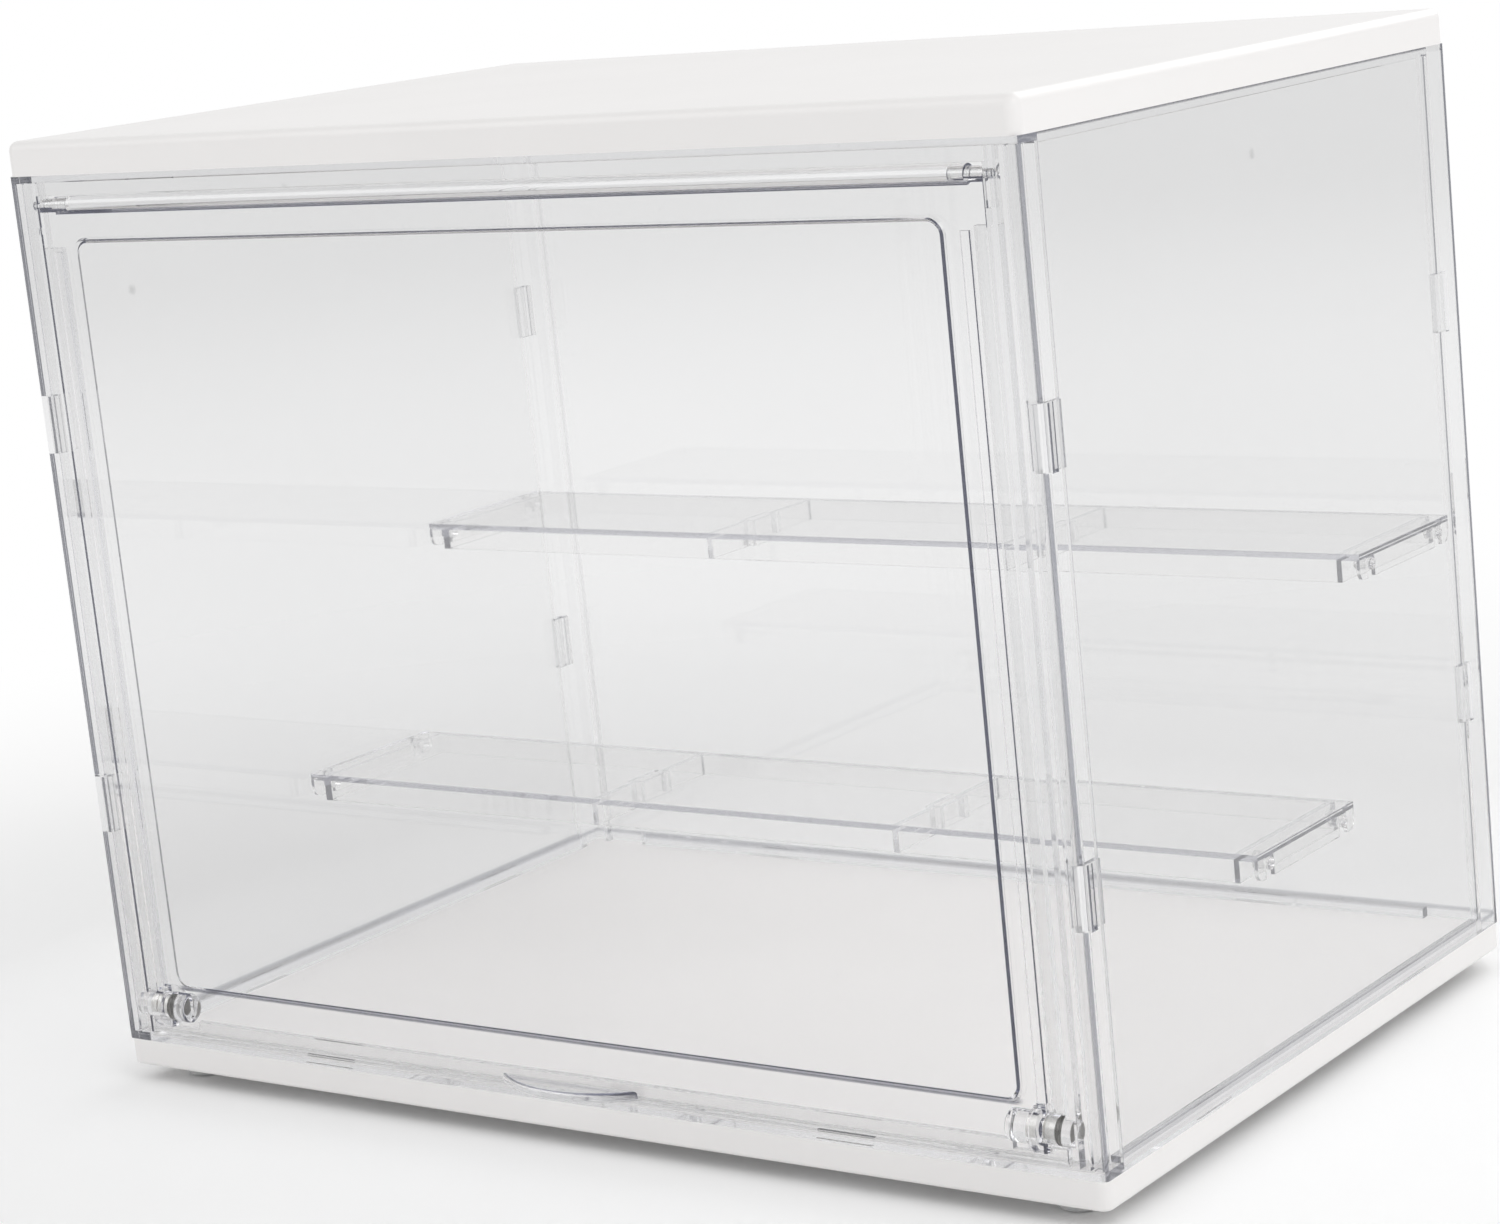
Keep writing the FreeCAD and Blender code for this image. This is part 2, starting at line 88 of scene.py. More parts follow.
class NodeGraph:
    """Short way to add and join nodes in a material, a world or a node group."""

    # Places of the Mix node's colour sockets, which share their names with its other sockets.
    MIX_SHARE = 0
    MIX_FIRST = 6
    MIX_SECOND = 7
    MIX_RESULT = 2

    def __init__(self, tree: bpy.types.NodeTree) -> None:
        """Keeps the node tree that later calls add to."""
        self.tree = tree

    def add(self, kind: str, **settings: object) -> bpy.types.Node:
        """Adds a node.

        Args:
            kind: Node type without its "ShaderNode" prefix.
            settings: Properties of the node, by name.

        Returns:
            The new node.
        """
        node = self.tree.nodes.new("ShaderNode" + kind)
        for name, value in settings.items():
            setattr(node, name, value)
        return node

    def feed(self, target: bpy.types.NodeSocket, source: object) -> None:
        """Feeds a socket from another socket, or sets it to a plain value.

        Args:
            target: Input socket.
            source: Output socket, number, colour or vector.
        """
        if isinstance(source, bpy.types.NodeSocket):
            self.tree.links.new(source, target)
        elif isinstance(source, tuple) and len(source) == 3 and len(target.default_value) == 4:
            target.default_value = (*source, 1.0)
        else:
            target.default_value = source

    def math(self, operation: str, *values: object) -> bpy.types.NodeSocket:
        """Adds a Math node.

        Args:
            operation: Name of the operation.
            values: Sockets or numbers, in the node's order.

        Returns:
            The node's result.
        """
        node = self.add("Math", operation=operation)
        for target, value in zip(node.inputs, values):
            self.feed(target, value)
        return node.outputs[0]

    def remap(
        self, value: object, low: float, high: float, to_low: float, to_high: float
    ) -> bpy.types.NodeSocket:
        """Maps a range of values smoothly to another.

        Args:
            value: Socket to map.
            low: Start of the range that comes in.
            high: End of the range that comes in.
            to_low: Result at the start.
            to_high: Result at the end.

        Returns:
            The mapped value.
        """
        node = self.add("MapRange", interpolation_type="SMOOTHSTEP")
        for name, source in (("Value", value), ("From Min", low), ("From Max", high)):
            self.feed(node.inputs[name], source)
        node.inputs["To Min"].default_value = to_low
        node.inputs["To Max"].default_value = to_high
        return node.outputs[0]

    def mix_color(self, share: object, first: object, second: object) -> bpy.types.NodeSocket:
        """Blends two colours.

        Args:
            share: Share of the second colour.
            first: Colour or socket at 0.
            second: Colour or socket at 1.

        Returns:
            The blended colour.
        """
        node = self.add("Mix", data_type="RGBA")
        self.feed(node.inputs[self.MIX_SHARE], share)
        self.feed(node.inputs[self.MIX_FIRST], first)
        self.feed(node.inputs[self.MIX_SECOND], second)
        return node.outputs[self.MIX_RESULT]

    def noise(
        self, where: object, scale: object, detail: float = 2.0, roughness: float = 0.5
    ) -> bpy.types.NodeSocket:
        """Adds a noise texture.

        Args:
            where: Coordinates.
            scale: Features per metre.
            detail: Number of finer layers.
            roughness: Strength of the finer layers.

        Returns:
            The noise value.
        """
        node = self.add("TexNoise")
        self.feed(node.inputs["Vector"], where)
        self.feed(node.inputs["Scale"], scale)
        node.inputs["Detail"].default_value = detail
        node.inputs["Roughness"].default_value = roughness
        return node.outputs["Fac"]

    def stretched(self, where: object, scale: Triple) -> bpy.types.NodeSocket:
        """Scales coordinates by a different amount along each axis.

        Args:
            where: Coordinates.
            scale: Factor along each axis.

        Returns:
            The scaled coordinates.
        """
        node = self.add("Mapping")
        self.feed(node.inputs["Vector"], where)
        node.inputs["Scale"].default_value = scale
        return node.outputs[0]


class EffectLibrary:
    """Node groups for surface effects that the finishes share."""

    # The grain's share in a skin's height, and the mottling's.
    GRAIN_SHARE = 0.4
    MOTTLE_SHARE = 0.6
    # Detail and roughness of each noise.
    GRAIN_NOISE = (3.0, 0.6)
    MOTTLE_NOISE = (3.0, 0.55)
    FLOW_NOISE = (2.0, 0.4)
    SCRATCH_NOISE = (4.0, 0.7)
    # Stretch of the noises, as features per length along each axis.
    FLOW_STRETCH = (0.35, 1.0, 1.6)
    SCRATCH_STRETCHES = ((6.0, 0.5, 1.1), (0.7, 1.3, 7.0))
    # Ranges of noise that become a mask from 0 to 1.
    MOTTLE_RANGE = (0.35, 0.65)
    FLOW_RANGE = (0.42, 0.62)
    PATCH_RANGE = (0.5, 0.66)
    # A scratch lies where its noise is near the middle, and only within patches.
    NOISE_MIDDLE = 0.5
    SCRATCH_HALF_WIDTH = 0.006
    PATCH_SCALE = 9.0
    # Share of the cells that hold no dust, and the inner and outer radius of a speck.
    DUST_FREE = 0.93
    SPECK_RANGE = (0.03, 0.1)
    # Where a gate mark and a shade line start to fade, as a share of their size.
    GATE_CORE = 0.15
    LINE_CORE = 0.6
    # Length over which a shade line fades at its ends, in metres.
    LINE_END = 3.0 * MILLIMETRE

    def __init__(self) -> None:
        """Lists what builds each effect's group, and starts with no group built."""
        self._groups: dict[Effect, bpy.types.NodeTree] = {}
        self._builders: dict[Effect, Callable[[str], bpy.types.NodeTree]] = {
            Effect.MOULDED_SKIN: self._moulded_skin,
            Effect.HANDLING: self._handling,
            Effect.GATE_MARK: self._gate_mark,
            Effect.SHADE_LINE: self._shade_line,
        }

    def use(self, graph: NodeGraph, effect: Effect, **values: object) -> bpy.types.Node:
        """Places an effect in a material with its own values.

        Args:
            graph: The material's nodes.
            effect: The effect to place.
            values: Inputs of the group, with spaces written as underscores.

        Returns:
            The group node.
        """
        if effect not in self._groups:
            self._groups[effect] = self._builders[effect](effect.value)
        node = graph.add("Group", node_tree=self._groups[effect])
        for socket, value in values.items():
            graph.feed(node.inputs[socket.replace("_", " ")], value)
        return node

    @staticmethod
    def _start(name: str, inputs: dict[str, str], outputs: dict[str, str]) -> tuple[NodeGraph, dict, dict]:
        """Makes an empty group with named sockets.

        Args:
            name: Name of the group.
            inputs: Socket type by input name.
            outputs: Socket type by output name.

        Returns:
            The group's nodes, its inputs by name and its outputs by name.
        """
        tree = bpy.data.node_groups.new(name, "ShaderNodeTree")
        for in_out, sockets in (("INPUT", inputs), ("OUTPUT", outputs)):
            for socket, kind in sockets.items():
                tree.interface.new_socket(socket, in_out=in_out, socket_type="NodeSocket" + kind)
        start = tree.nodes.new("NodeGroupInput")
        end = tree.nodes.new("NodeGroupOutput")
        return NodeGraph(tree), dict(start.outputs.items()), dict(end.inputs.items())

    def _moulded_skin(self, name: str) -> bpy.types.NodeTree:
        """Skin of a moulding: fine grain, slow mottling and long flow marks.

        Args:
            name: Name of the group.

        Returns:
            The group's node tree.
        """
        graph, given, result = self._start(
            name,
            {"Position": "Vector", "Grain Scale": "Float", "Mottle Scale": "Float", "Flow Scale": "Float"},
            {"Height": "Float", "Mottle": "Float", "Flow": "Float"},
        )
        grain = graph.noise(given["Position"], given["Grain Scale"], *self.GRAIN_NOISE)
        mottle = graph.noise(given["Position"], given["Mottle Scale"], *self.MOTTLE_NOISE)
        along = graph.stretched(given["Position"], self.FLOW_STRETCH)
        flow = graph.noise(along, given["Flow Scale"], *self.FLOW_NOISE)
        slow = graph.math("MULTIPLY", mottle, self.MOTTLE_SHARE)
        fine = graph.math("MULTIPLY", grain, self.GRAIN_SHARE)
        graph.feed(result["Height"], graph.math("ADD", fine, slow))
        graph.feed(result["Mottle"], graph.remap(mottle, *self.MOTTLE_RANGE, 0.0, 1.0))
        graph.feed(result["Flow"], graph.remap(flow, *self.FLOW_RANGE, 0.0, 1.0))
        return graph.tree

    def _handling(self, name: str) -> bpy.types.NodeTree:
        """Signs of handling: hair scratches that cross each other, and specks of dust.

        Args:
            name: Name of the group.

        Returns:
            The group's node tree.
        """
        graph, given, result = self._start(
            name,
            {"Position": "Vector", "Scratch Scale": "Float", "Dust Scale": "Float"},
            {"Scratches": "Float", "Dust": "Float"},
        )
        lines = []
        for stretch in self.SCRATCH_STRETCHES:
            along = graph.stretched(given["Position"], stretch)
            wave = graph.noise(along, given["Scratch Scale"], *self.SCRATCH_NOISE)
            off_middle = graph.math("ABSOLUTE", graph.math("SUBTRACT", wave, self.NOISE_MIDDLE))
            lines.append(graph.remap(off_middle, 0.0, self.SCRATCH_HALF_WIDTH, 1.0, 0.0))
        patches = graph.noise(given["Position"], self.PATCH_SCALE)
        patch = graph.remap(patches, *self.PATCH_RANGE, 0.0, 1.0)
        both = graph.math("MAXIMUM", lines[0], lines[1])
        graph.feed(result["Scratches"], graph.math("MULTIPLY", both, patch))
        cells = graph.add("TexVoronoi", feature="F1")
        graph.feed(cells.inputs["Vector"], given["Position"])
        graph.feed(cells.inputs["Scale"], given["Dust Scale"])
        chosen = graph.add("SeparateColor")
        graph.feed(chosen.inputs[0], cells.outputs["Color"])
        rare = graph.math("GREATER_THAN", chosen.outputs[0], self.DUST_FREE)
        near = graph.remap(cells.outputs["Distance"], *self.SPECK_RANGE, 1.0, 0.0)
        graph.feed(result["Dust"], graph.math("MULTIPLY", rare, near))
        return graph.tree

    def _gate_mark(self, name: str) -> bpy.types.NodeTree:
        """Soft round mark where the plastic entered the mould.

        Args:
            name: Name of the group.

        Returns:
            The group's node tree.
        """
        graph, given, result = self._start(
            name, {"Position": "Vector", "Centre": "Vector", "Radius": "Float"}, {"Mark": "Float"}
        )
        away = graph.add("VectorMath", operation="DISTANCE")
        graph.feed(away.inputs[0], given["Position"])
        graph.feed(away.inputs[1], given["Centre"])
        share = graph.math("DIVIDE", away.outputs["Value"], given["Radius"])
        graph.feed(result["Mark"], graph.remap(share, self.GATE_CORE, 1.0, 1.0, 0.0))
        return graph.tree

    def _shade_line(self, name: str) -> bpy.types.NodeTree:
        """Painted shade: a dark line at one height, as where a sheet meets its neighbour.

        Args:
            name: Name of the group.

        Returns:
            The group's node tree.
        """
        graph, given, result = self._start(
            name,
            {"Position": "Vector", "Level": "Float", "Width": "Float", "Reach": "Float"},
            {"Line": "Float"},
        )
        parts = graph.add("SeparateXYZ")
        graph.feed(parts.inputs[0], given["Position"])
        away = graph.math("ABSOLUTE", graph.math("SUBTRACT", parts.outputs["Z"], given["Level"]))
        share = graph.math("DIVIDE", away, given["Width"])
        line = graph.remap(share, self.LINE_CORE, 1.0, 1.0, 0.0)
        aside = graph.math("ABSOLUTE", parts.outputs["X"])
        inside = graph.math("SUBTRACT", given["Reach"], aside)
        within = graph.remap(inside, 0.0, self.LINE_END, 0.0, 1.0)
        graph.feed(result["Line"], graph.math("MULTIPLY", line, within))
        return graph.tree


EFFECTS = EffectLibrary()


class Finish(ABC):
    """Base of every finish: makes a material, which each kind of finish fills with its own nodes."""

    name: str

    def material(self) -> bpy.types.Material:
        """Makes the material.

        Returns:
            A new material with its nodes in place.
        """
        made = bpy.data.materials.new(self.name)
        made.use_nodes = True
        made.node_tree.nodes.clear()
        graph = NodeGraph(made.node_tree)
        output = graph.add("OutputMaterial")
        places = graph.add("TexCoord")
        self.fill(graph, output, places.outputs["Object"])
        return made

    @abstractmethod
    def fill(self, graph: NodeGraph, output: bpy.types.Node, where: bpy.types.NodeSocket) -> None:
        """Adds the finish's own nodes.

        Args:
            graph: The material's nodes.
            output: The material's output node.
            where: Coordinates fixed to the piece.
        """

    @staticmethod
    def add_relief(
        graph: NodeGraph, shader: bpy.types.Node, height: object, strength: float, depth: float
    ) -> None:
        """Gives a shader a fine relief.

        Args:
            graph: The material's nodes.
            shader: The shader that gets the relief.
            height: Height of the relief, as a socket.
            strength: Share of the relief that shows.
            depth: Full depth of the relief, in metres.
        """
        bump = graph.add("Bump")
        bump.inputs["Strength"].default_value = strength
        bump.inputs["Distance"].default_value = depth
        graph.feed(bump.inputs["Height"], height)
        graph.feed(shader.inputs["Normal"], bump.outputs["Normal"])


@dataclass(frozen=True)
class OpaquePlastic(Finish):
    """Opaque moulding with a satin skin, faint mottling and light handling marks."""

    name: str
    color: Color
    shade: Color
    roughness: float = 0.34
    flow_roughness: float = 0.05
    scratch_roughness: float = 0.12
    coat: float = 0.12
    coat_roughness: float = 0.2
    grain_scale: float = 2600.0
    grain_depth: float = 0.02 * MILLIMETRE
    grain_strength: float = 0.25
    mottle_scale: float = 16.0
    mottle_share: float = 0.55
    flow_scale: float = 12.0
    scratch_scale: float = 14.0
    dust_scale: float = 240.0
    dust_share: float = 0.35

    def fill(self, graph: NodeGraph, output: bpy.types.Node, where: bpy.types.NodeSocket) -> None:
        """Adds the satin plastic's nodes.

        Args:
            graph: The material's nodes.
            output: The material's output node.
            where: Coordinates fixed to the piece.
        """
        skin = EFFECTS.use(
            graph,
            Effect.MOULDED_SKIN,
            Position=where,
            Grain_Scale=self.grain_scale,
            Mottle_Scale=self.mottle_scale,
            Flow_Scale=self.flow_scale,
        )
        marks = EFFECTS.use(
            graph,
            Effect.HANDLING,
            Position=where,
            Scratch_Scale=self.scratch_scale,
            Dust_Scale=self.dust_scale,
        )
        shader = graph.add("BsdfPrincipled")
        mottled = graph.math("MULTIPLY", skin.outputs["Mottle"], self.mottle_share)
        tone = graph.mix_color(mottled, self.color, self.shade)
        dusty = graph.math("MULTIPLY", marks.outputs["Dust"], self.dust_share)
        graph.feed(shader.inputs["Base Color"], graph.mix_color(dusty, tone, self.shade))
        rough = graph.math("MULTIPLY_ADD", skin.outputs["Flow"], self.flow_roughness, self.roughness)
        scuffed = graph.math("MULTIPLY_ADD", marks.outputs["Scratches"], self.scratch_roughness, rough)
        graph.feed(shader.inputs["Roughness"], scuffed)
        shader.inputs["Coat Weight"].default_value = self.coat
        shader.inputs["Coat Roughness"].default_value = self.coat_roughness
        self.add_relief(graph, shader, skin.outputs["Height"], self.grain_strength, self.grain_depth)
        graph.feed(output.inputs["Surface"], shader.outputs[0])


@dataclass(frozen=True)
class ShadeLine:
    """Painted shade: a darker band around a sheet at one height, as where it meets its neighbour.

    Its width runs from its middle to where it has faded, and its reach from the piece's middle to
    each end. Lengths are in metres.
    """

    level: float
    width: float
    tint: Color
    reach: float = 1.0


@dataclass(frozen=True)
class ClearPlastic(Finish):
    """Clear polystyrene sheet: it bends light, and long paths inside it come out darker.

    Gates are the centres of gate marks. Light counts as trapped after a number of glossy bounces, and
    as leaked after a number of clear crossings. Lengths are in metres.
    """

    name: str
    gates: tuple[Triple, ...] = ()
    face_tint: Color = (0.931, 0.931, 0.930)
    depth_tint: Color = (0.52, 0.53, 0.60)
    depth_density: float = 14.0
    lamp_tint: Color = (0.997, 0.997, 0.997)
    # Painted shade: light trapped in the sheet leaks out dimmed by this tint, which darkens edges and
    # joints.
    trapped_tint: Color = (0.26, 0.265, 0.3)
    trapped_after: float = 7.5
    leaked_after: float = 0.5
    streak_share: float = 0.12
    streak_tone: float = 0.97
    gate_tint: Color = (0.62, 0.62, 0.62)
    gate_radius: float = 0.0022
    shade_lines: tuple[ShadeLine, ...] = ()
    dust_share: float = 0.25
    ior: float = 1.57
    roughness: float = 0.012
    mottle_roughness: float = 0.01
    scratch_roughness: float = 0.06
    grain_scale: float = 420.0
    grain_depth: float = 0.04 * MILLIMETRE
    grain_strength: float = 0.02
    mottle_scale: float = 22.0
    flow_scale: float = 18.0
    scratch_scale: float = 11.0
    dust_scale: float = 150.0

    def fill(self, graph: NodeGraph, output: bpy.types.Node, where: bpy.types.NodeSocket) -> None:
        """Adds the clear plastic's nodes.

        Args:
            graph: The material's nodes.
            output: The material's output node.
            where: Coordinates fixed to the piece.
        """
        skin = EFFECTS.use(
            graph,
            Effect.MOULDED_SKIN,
            Position=where,
            Grain_Scale=self.grain_scale,
            Mottle_Scale=self.mottle_scale,
            Flow_Scale=self.flow_scale,
        )
        marks = EFFECTS.use(
            graph,
            Effect.HANDLING,
            Position=where,
            Scratch_Scale=self.scratch_scale,
            Dust_Scale=self.dust_scale,
        )
        streak = graph.math("MULTIPLY", skin.outputs["Flow"], self.streak_share)
        streak_tint = tuple(self.streak_tone * value for value in self.face_tint)
        color = graph.mix_color(streak, self.face_tint, streak_tint)
        for centre in self.gates:
            gate = EFFECTS.use(
                graph, Effect.GATE_MARK, Position=where, Centre=centre, Radius=self.gate_radius
            )
            color = graph.mix_color(gate.outputs["Mark"], color, self.gate_tint)
        # Painted shade: each shade line darkens the sheet's colour in a band at one height.
        for line in self.shade_lines:
            shade = EFFECTS.use(
                graph,
                Effect.SHADE_LINE,
                Position=where,
                Level=line.level,
                Width=line.width,
                Reach=line.reach,
            )
            color = graph.mix_color(shade.outputs["Line"], color, line.tint)
        dust = graph.math("MULTIPLY", marks.outputs["Dust"], self.dust_share)
        color = graph.mix_color(dust, color, self.gate_tint)
        shader = graph.add("BsdfPrincipled")
        graph.feed(shader.inputs["Base Color"], color)
        hazy = graph.math("MULTIPLY_ADD", skin.outputs["Mottle"], self.mottle_roughness, self.roughness)
        scuffed = graph.math("MULTIPLY_ADD", marks.outputs["Scratches"], self.scratch_roughness, hazy)
        graph.feed(shader.inputs["Roughness"], scuffed)
        shader.inputs["Transmission Weight"].default_value = 1.0
        shader.inputs["IOR"].default_value = self.ior
        self.add_relief(graph, shader, skin.outputs["Height"], self.grain_strength, self.grain_depth)
        self.let_light_pass(graph, output, shader)
        depth = graph.add("VolumeAbsorption")
        graph.feed(depth.inputs["Color"], self.depth_tint)
        depth.inputs["Density"].default_value = self.depth_density
        graph.feed(output.inputs["Volume"], depth.outputs[0])

    def let_light_pass(self, graph: NodeGraph, output: bpy.types.Node, shader: bpy.types.Node) -> None:
        """Lets shadow rays pass the sheet, and lets light that is trapped in it leak out, weakened once.

        Args:
            graph: The material's nodes.
            output: The material's output node.
            shader: The clear shader that every other ray meets.
        """
        path = graph.add("LightPath")
        trapped = graph.math("GREATER_THAN", path.outputs["Glossy Depth"], self.trapped_after)
        first = graph.math("LESS_THAN", path.outputs["Transparent Depth"], self.leaked_after)
        leaking = graph.math("MULTIPLY", trapped, first)
        passing = graph.add("BsdfTransparent")
        graph.feed(passing.inputs["Color"], graph.mix_color(leaking, self.lamp_tint, self.trapped_tint))
        choice = graph.add("MixShader")
        graph.feed(choice.inputs[0], graph.math("MAXIMUM", path.outputs["Is Shadow Ray"], trapped))
        graph.feed(choice.inputs[1], shader.outputs[0])
        graph.feed(choice.inputs[2], passing.outputs[0])
        graph.feed(output.inputs["Surface"], choice.outputs[0])


@dataclass(frozen=True)
class SoftPad(Finish):
    """Soft pad with a dull, slightly dusty skin."""

    name: str
    color: Color = (0.66, 0.67, 0.68)
    dust: Color = (0.78, 0.78, 0.77)
    roughness: float = 0.62
    flow_roughness: float = 0.1
    grain_scale: float = 1800.0
    grain_depth: float = 0.05 * MILLIMETRE
    grain_strength: float = 0.4
    mottle_scale: float = 260.0
    flow_scale: float = 90.0

    def fill(self, graph: NodeGraph, output: bpy.types.Node, where: bpy.types.NodeSocket) -> None:
        """Adds the soft pad's nodes.

        Args:
            graph: The material's nodes.
            output: The material's output node.
            where: Coordinates fixed to the piece.
        """
        skin = EFFECTS.use(
            graph,
            Effect.MOULDED_SKIN,
            Position=where,
            Grain_Scale=self.grain_scale,
            Mottle_Scale=self.mottle_scale,
            Flow_Scale=self.flow_scale,
        )
        shader = graph.add("BsdfPrincipled")
        tone = graph.mix_color(skin.outputs["Mottle"], self.color, self.dust)
        graph.feed(shader.inputs["Base Color"], tone)
        rough = graph.math("MULTIPLY_ADD", skin.outputs["Flow"], self.flow_roughness, self.roughness)
        graph.feed(shader.inputs["Roughness"], rough)
        self.add_relief(graph, shader, skin.outputs["Height"], self.grain_strength, self.grain_depth)
        graph.feed(output.inputs["Surface"], shader.outputs[0])


@dataclass(frozen=True)
class PlatedMetal(Finish):
    """Dull plated metal with a fine grain, half veiled by the clear plastic around it."""

    name: str
    color: Color = (0.9, 0.89, 0.87)
    dull: Color = (0.8, 0.79, 0.77)
    metallic: float = 0.5
    roughness: float = 0.45
    dull_roughness: float = 0.14
    grain_scale: float = 1500.0
    grain_noise: tuple[float, float] = (3.0, 0.6)
    grain_range: tuple[float, float] = (0.38, 0.62)
    grain_depth: float = 0.01 * MILLIMETRE
    grain_strength: float = 0.2

    def fill(self, graph: NodeGraph, output: bpy.types.Node, where: bpy.types.NodeSocket) -> None:
        """Adds the plated metal's nodes.

        Args:
            graph: The material's nodes.
            output: The material's output node.
            where: Coordinates fixed to the piece.
        """
        grain = graph.noise(where, self.grain_scale, *self.grain_noise)
        mask = graph.remap(grain, *self.grain_range, 0.0, 1.0)
        shader = graph.add("BsdfPrincipled")
        graph.feed(shader.inputs["Base Color"], graph.mix_color(mask, self.color, self.dull))
        rough = graph.math("MULTIPLY_ADD", mask, self.dull_roughness, self.roughness)
        graph.feed(shader.inputs["Roughness"], rough)
        shader.inputs["Metallic"].default_value = self.metallic
        self.add_relief(graph, shader, grain, self.grain_strength, self.grain_depth)
        graph.feed(output.inputs["Surface"], shader.outputs[0])


@dataclass
class SubAssembly(ABC):
    """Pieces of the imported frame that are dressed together.

    Lengths are in metres and angles in radians.
    """

    frame: dict[str, object]
    weld_distance: float = 0.001 * MILLIMETRE
    crisp_angle: float = 0.5

    @abstractmethod
    def build(self) -> None:
        """Dresses every piece of the sub-assembly."""

    def dress(self, nodes: Iterable[str], finish: Finish, slot: Slot) -> None:
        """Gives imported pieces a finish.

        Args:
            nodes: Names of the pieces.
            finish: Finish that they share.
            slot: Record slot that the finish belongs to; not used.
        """
        made = finish.material()
        for name in nodes:
            piece = self.frame["nodes"][name]
            piece.data.materials.clear()
            piece.data.materials.append(made)
            log.info("%s: %s", name, finish.name)

    def seat(self, nodes: Iterable[str], gap: float) -> None:
        """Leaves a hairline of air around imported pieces, so that no two faces lie in one place.

        Args:
            nodes: Names of the pieces.
            gap: Width of the hairline, in metres.
        """
        for name in nodes:
            steps = self.frame["nodes"][name].modifiers
            skin = steps.new("closed_skin", "WELD")
            skin.merge_threshold = self.weld_distance
            hairline = steps.new("hairline_gap", "DISPLACE")
            hairline.mid_level = 0.0
            hairline.strength = -gap
            split = steps.new("crisp_edges", "EDGE_SPLIT")
            split.split_angle = self.crisp_angle


@dataclass
class LidAndBase(SubAssembly):
    """White lid and base, with the soft feet under the base."""

    white: Color = (0.925, 0.909, 0.9)
    shade: Color = (0.905, 0.889, 0.88)
    contact_gap: float = 0.01 * MILLIMETRE
    plates: tuple[str, ...] = ("lid", "base")
    feet: tuple[str, ...] = ("foot_front_left", "foot_front_right", "foot_back_left", "foot_back_right")

    def build(self) -> None:
        """Dresses the plates and the feet."""
        finish = OpaquePlastic("white_satin_moulding", self.white, self.shade)
        self.dress(self.plates, finish, Slot.WHITE)
        self.seat(self.plates, self.contact_gap)
        self.dress(self.feet, SoftPad("soft_foot_pad"), Slot.FOOT)


@dataclass
class ClearWalls(SubAssembly):
    """Clear front frame, back panel and side panels.

    The rails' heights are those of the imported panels.
    """

    gate_drop: float = 23.4 * MILLIMETRE
    side_rail: float = 4.0 * MILLIMETRE
    back_rail: float = 3.2 * MILLIMETRE
    # Painted shade under the lid: width and tint of a dark line where the side panels meet it.
    lid_shade_width: float = 0.8 * MILLIMETRE
    lid_shade_tint: Color = (0.25, 0.25, 0.27)
    # Painted shade on the foot rails: a dark line along their top over a paler band.
    crest_shade_width: float = 0.75 * MILLIMETRE
    crest_shade_tint: Color = (0.55, 0.555, 0.58)
    rail_shade_tint: Color = (0.87, 0.872, 0.878)
    side_tint: Color = (0.886, 0.886, 0.885)
    frame_tint: Color = (0.918, 0.918, 0.918)
    # Painted shade: light trapped in the front frame leaks out dimmed by this tint, which darkens its
    # posts.
    post_trapped_light_tint: Color = (0.52, 0.525, 0.55)

    def build(self) -> None:
        """Dresses the front frame, the back panel, and each side panel with its own gate mark."""
        frame = ClearPlastic("clear_front_frame", face_tint=self.frame_tint, trapped_tint=self.post_trapped_light_tint)
        self.dress(("front_frame",), frame, Slot.CLEAR)
        back = ClearPlastic("clear_back_panel", shade_lines=self.foot_rail_shade(self.back_rail))
        self.dress(("back_panel",), back, Slot.CLEAR)
        # Painted shade: a dark line on the side panels just under the lid.
        under_lid_shade = ShadeLine(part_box("lid")[0].z, self.lid_shade_width, self.lid_shade_tint)
        side_lines = (under_lid_shade, *self.foot_rail_shade(self.side_rail))
        for side in ("right", "left"):
            name = "side_panel_" + side
            gates = (self.gate_centre(name),)
            finish = ClearPlastic("clear_wall_" + side, gates, self.side_tint, shade_lines=side_lines)
            self.dress((name,), finish, Slot.CLEAR)

    def foot_rail_shade(self, height: float) -> tuple[ShadeLine, ...]:
        """Paints shade on the rail along a wall's foot: a dark crest over a paler band.

        Args:
            height: Height of the rail above the base, in metres.

        Returns:
            The band and its crest.
        """
        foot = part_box("base")[1].z
        band = ShadeLine(foot + height / 2, height / 2, self.rail_shade_tint)
        crest = ShadeLine(foot + height, self.crest_shade_width, self.crest_shade_tint)
        return (band, crest)

    def gate_centre(self, name: str) -> Triple:
        """Finds where the mould's gate meets a side panel.

        Args:
            name: Name of the panel.

        Returns:
            The centre of the gate mark, on the panel's outer face.
        """
        low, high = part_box(name)
        outer = high.x if high.x > -low.x else low.x
        return (outer, (low.y + high.y) / 2, high.z - self.gate_drop)


